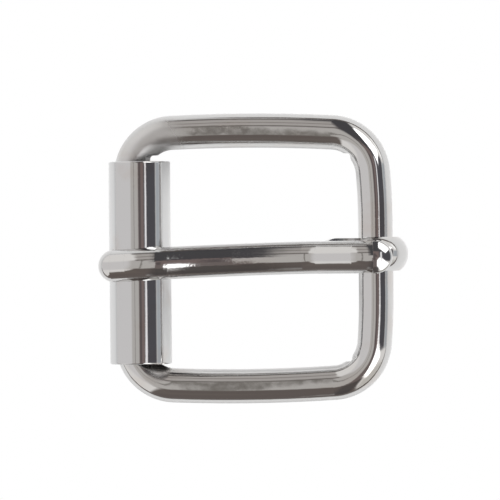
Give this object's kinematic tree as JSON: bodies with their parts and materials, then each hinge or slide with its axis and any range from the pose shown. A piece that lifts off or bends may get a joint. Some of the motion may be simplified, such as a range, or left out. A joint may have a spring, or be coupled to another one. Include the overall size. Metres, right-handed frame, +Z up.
{
  "type": "roller buckle",
  "caption": "Strap buckle: a closed ring of bent round wire with a loose roller tube on one bar and a swinging wire tongue on the other.",
  "frame": {"origin": "middle of the heel bar's axis, the bar that the tongue's eye wraps", "axes": "+X from the roller towards the heel bar, +Y along the heel bar, +Z up from the surface that the buckle lies on"},
  "size_m": [0.0354, 0.0338, 0.0113],
  "materials": {
    "frame": "bright nickel-plated steel wire",
    "roller": "bright nickel-plated steel tube",
    "tongue": "bright nickel-plated steel wire"
  },
  "bodies": {
    "frame": {"frame": "frame"},
    "roller": {"roller": "roller"},
    "tongue": {"tongue": "tongue"}
  },
  "joints": [
    {"name": "roller_spin", "type": "hinge", "parent": "frame", "child": "roller", "pos_m": [-0.02775, 0, -0.00016], "axis": [0, 1, 0], "continuous": true},
    {"name": "tongue_swing", "type": "hinge", "parent": "frame", "child": "tongue", "pos_m": [0, 0, 0], "axis": [0, 1, 0], "range_deg": [0, 335]}
  ]
}
